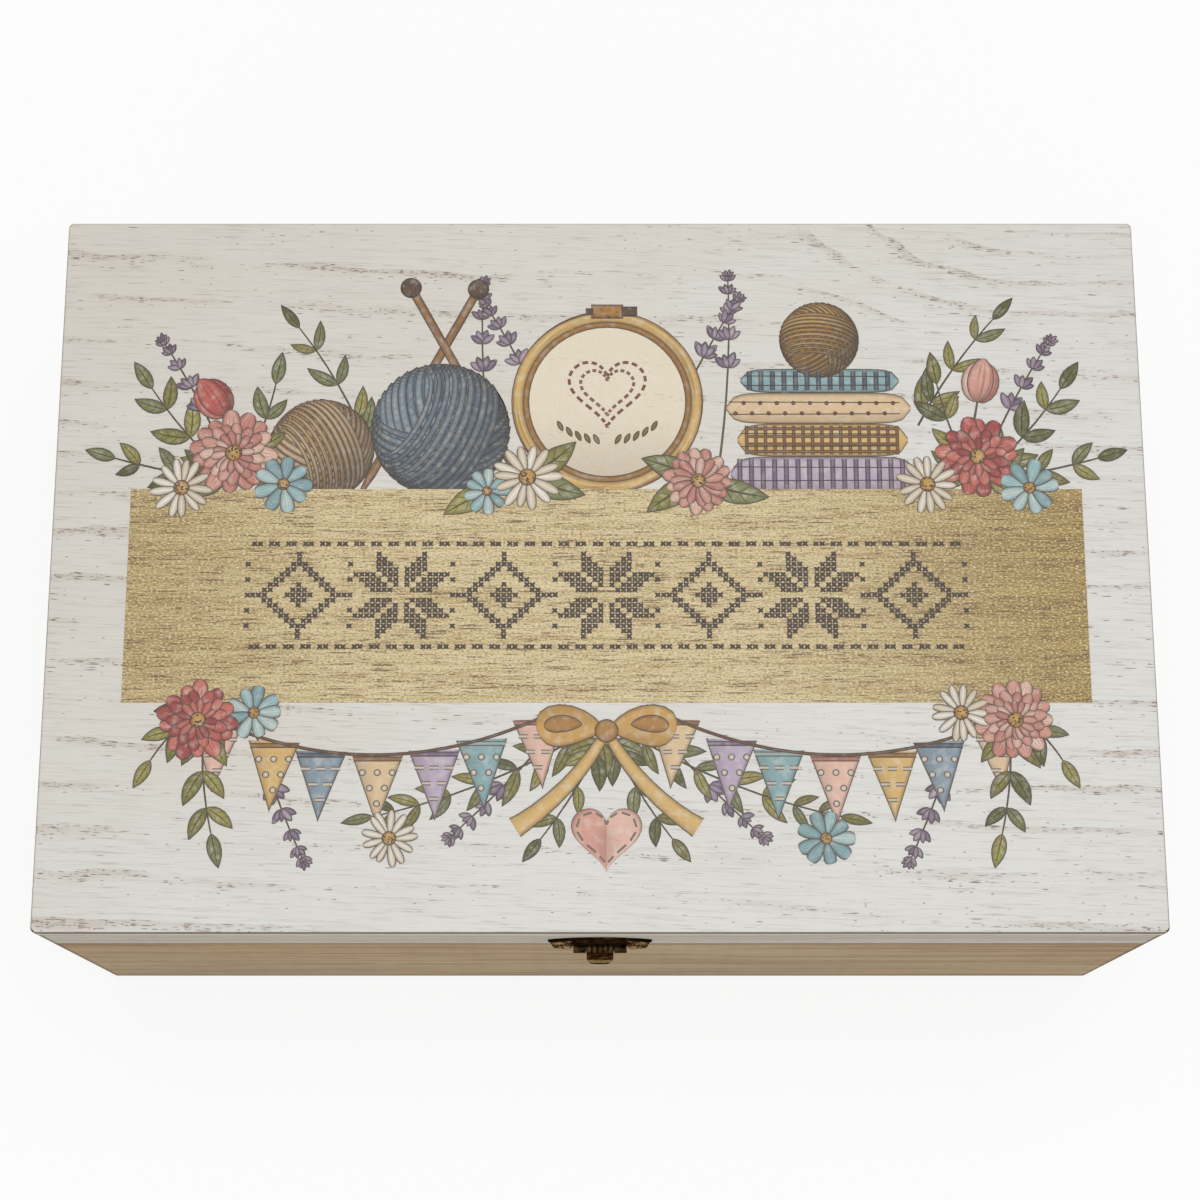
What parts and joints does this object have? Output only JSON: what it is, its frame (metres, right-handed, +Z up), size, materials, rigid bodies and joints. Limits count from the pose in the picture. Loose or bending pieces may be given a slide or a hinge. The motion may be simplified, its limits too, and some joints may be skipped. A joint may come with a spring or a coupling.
{
  "type": "sewing box",
  "caption": "Hinged rectangular wooden sewing box with a whitewashed lid, a bronze hasp at the front and a divided lift-out tray inside.",
  "frame": {"origin": "middle of the flat underside", "axes": "+Z up, +X to the right along the box's length, -Y towards the front with the hasp"},
  "size_m": [0.3, 0.2088, 0.116],
  "materials": {
    "whitewashed_wood": "thin matt white wash over open brown grain",
    "tan_wood": "bare sanded wood, matt",
    "pale_wood": "bare thin boards, matt",
    "antique_bronze": "darkened bronze with brassy worn edges"
  },
  "bodies": {
    "base": {"base_front_wall": "tan_wood", "base_back_wall": "tan_wood", "base_left_wall": "tan_wood", "base_right_wall": "tan_wood", "base_bottom_panel": "pale_wood", "tray_runner_left": "pale_wood", "tray_runner_right": "pale_wood", "hinge_base_leaf_left": "antique_bronze", "hinge_base_leaf_right": "antique_bronze", "hinge_pin_left": "antique_bronze", "hinge_pin_right": "antique_bronze", "hinge_base_screws": "antique_bronze", "catch_plate": "antique_bronze", "catch_nails": "antique_bronze"},
    "lid": {"lid_panel": "whitewashed_wood", "lid_front_rail": "whitewashed_wood", "lid_back_rail": "whitewashed_wood", "lid_left_rail": "whitewashed_wood", "lid_right_rail": "whitewashed_wood", "hinge_lid_leaf_left": "antique_bronze", "hinge_lid_leaf_right": "antique_bronze", "hinge_lid_screws": "antique_bronze", "hasp_plate": "antique_bronze", "hasp_nails": "antique_bronze", "hasp_pin": "antique_bronze"},
    "hasp": {"hasp_tongue": "antique_bronze"},
    "tray": {"tray_floor": "pale_wood", "tray_front_wall": "pale_wood", "tray_back_wall": "pale_wood", "tray_left_wall": "pale_wood", "tray_right_wall": "pale_wood", "tray_long_divider": "pale_wood", "tray_cross_divider_left": "pale_wood", "tray_cross_divider_right": "pale_wood"}
  },
  "joints": [
    {"name": "lid_hinge", "type": "hinge", "parent": "base", "child": "lid", "pos_m": [0, 0.1022, 0.091], "axis": [-1, 0, 0], "range_deg": [0, 180]},
    {"name": "hasp_pivot", "type": "hinge", "parent": "lid", "child": "hasp", "pos_m": [0, -0.10155, 0.0925], "axis": [-1, 0, 0], "range_deg": [0, 135]},
    {"name": "tray_lift", "type": "slide", "parent": "base", "child": "tray", "axis": [0, 0, 1], "range_m": [0, 0.022]}
  ]
}
